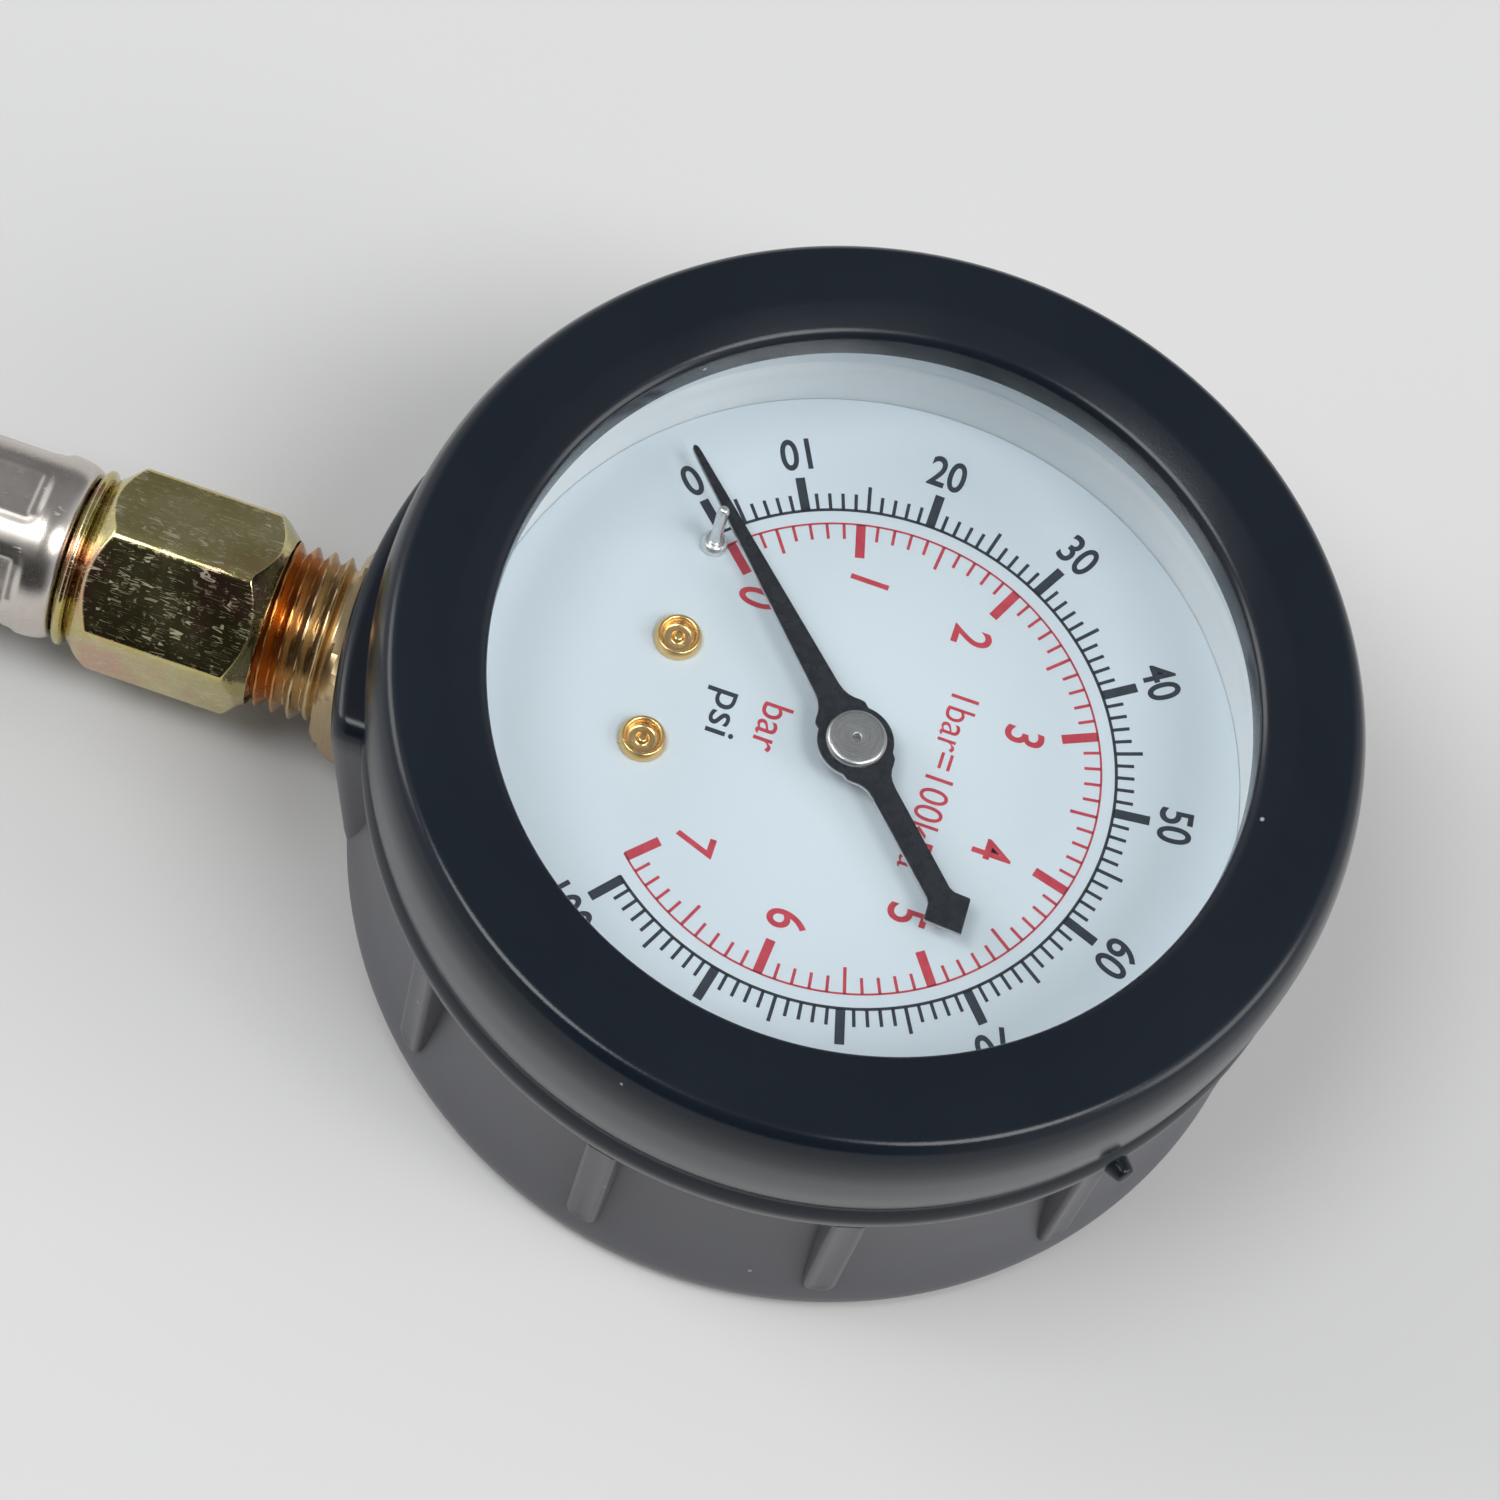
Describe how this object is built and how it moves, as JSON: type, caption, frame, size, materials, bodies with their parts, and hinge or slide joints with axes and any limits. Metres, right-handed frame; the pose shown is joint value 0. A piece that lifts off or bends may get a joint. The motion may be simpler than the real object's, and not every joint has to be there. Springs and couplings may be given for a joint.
{
  "type": "pressure gauge",
  "caption": "Round dial pressure gauge in a rubber boot, with a threaded brass stem, a hexagonal hose fitting and a crimped ferrule.",
  "frame": {"origin": "centre of the boot's flat back, on the surface that the gauge lies on", "axes": "+Z is the dial's outward normal, -Y is the way the stem and hose fitting leave, and +X points to three o'clock on the dial"},
  "size_m": [0.076, 0.129, 0.0374],
  "materials": {
    "black_rubber": "semi-gloss moulded rubber",
    "pressed_steel": "plain drawn steel",
    "brass": "turned brass",
    "clear_glass": "clear polished",
    "grey_plastic": "light grey, matt",
    "white_enamel": "satin white, faintly blue",
    "black_paint": "satin black",
    "bright_nickel": "bright plated",
    "spring_bronze": "bright phosphor bronze",
    "yellow_zinc": "olive-yellow passivated zinc"
  },
  "bodies": {
    "gauge": {"rubber_boot": "black_rubber", "case_cup": "pressed_steel", "blowout_plug": "black_rubber", "case_screw_left": "pressed_steel", "case_screw_right": "pressed_steel", "bezel_ring": "pressed_steel", "window_glass": "clear_glass", "window_gasket": "grey_plastic", "spacer_ring": "grey_plastic", "dial_plate": "white_enamel", "dial_screw_left": "brass", "dial_screw_right": "brass", "stop_pin": "bright_nickel", "hairspring": "spring_bronze", "hairspring_stud": "brass", "movement_back_plate": "brass", "movement_front_plate": "brass", "movement_pillar": "brass", "movement_sleeve_left": "brass", "movement_sleeve_right": "brass", "movement_stud_left": "brass", "movement_stud_right": "brass", "bourdon_tube": "spring_bronze", "socket_stem": "brass", "restrictor_screw": "brass", "hose_fitting": "yellow_zinc", "crimp_ferrule": "bright_nickel"},
    "pointer_assembly": {"pointer": "black_paint", "pointer_hub": "bright_nickel", "pinion_arbor": "pressed_steel", "hairspring_collet": "brass"},
    "sector": {"sector_gear": "brass", "sector_arbor": "pressed_steel", "tail_pin": "pressed_steel"},
    "tip": {"tube_tip": "brass", "tip_pin": "pressed_steel"},
    "link": {"link_bar": "brass"}
  },
  "joints": [
    {"name": "pointer_spin", "type": "hinge", "parent": "gauge", "child": "pointer_assembly", "pos_m": [0, 0, 0.0245], "axis": [0, 0, -1], "range_deg": [0, 270], "deforming": ["hairspring"]},
    {"name": "sector_swing", "type": "hinge", "parent": "gauge", "child": "sector", "pos_m": [0.01145, -0.00715, 0.0168], "axis": [0, 0, 1], "range_deg": [0, 33.75]},
    {"name": "tip_swing", "type": "hinge", "parent": "gauge", "child": "tip", "pos_m": [-0.00388, 0.00672, 0.011], "axis": [0, 0, 1], "range_deg": [0, 8.4], "deforming": ["bourdon_tube"]},
    {"name": "link_pivot", "type": "hinge", "parent": "tip", "child": "link", "pos_m": [0.01919, -0.00473, 0.0157], "axis": [0, 0, -1], "range_deg": [0, 8.67]}
  ],
  "couplings": [
    {"joint": "sector_swing", "follows": "pointer_spin", "ratio": 0.125},
    {"joint": "tip_swing", "follows": "pointer_spin", "ratio": 0.031111},
    {"joint": "link_pivot", "follows": "pointer_spin", "ratio": 0.032085}
  ]
}
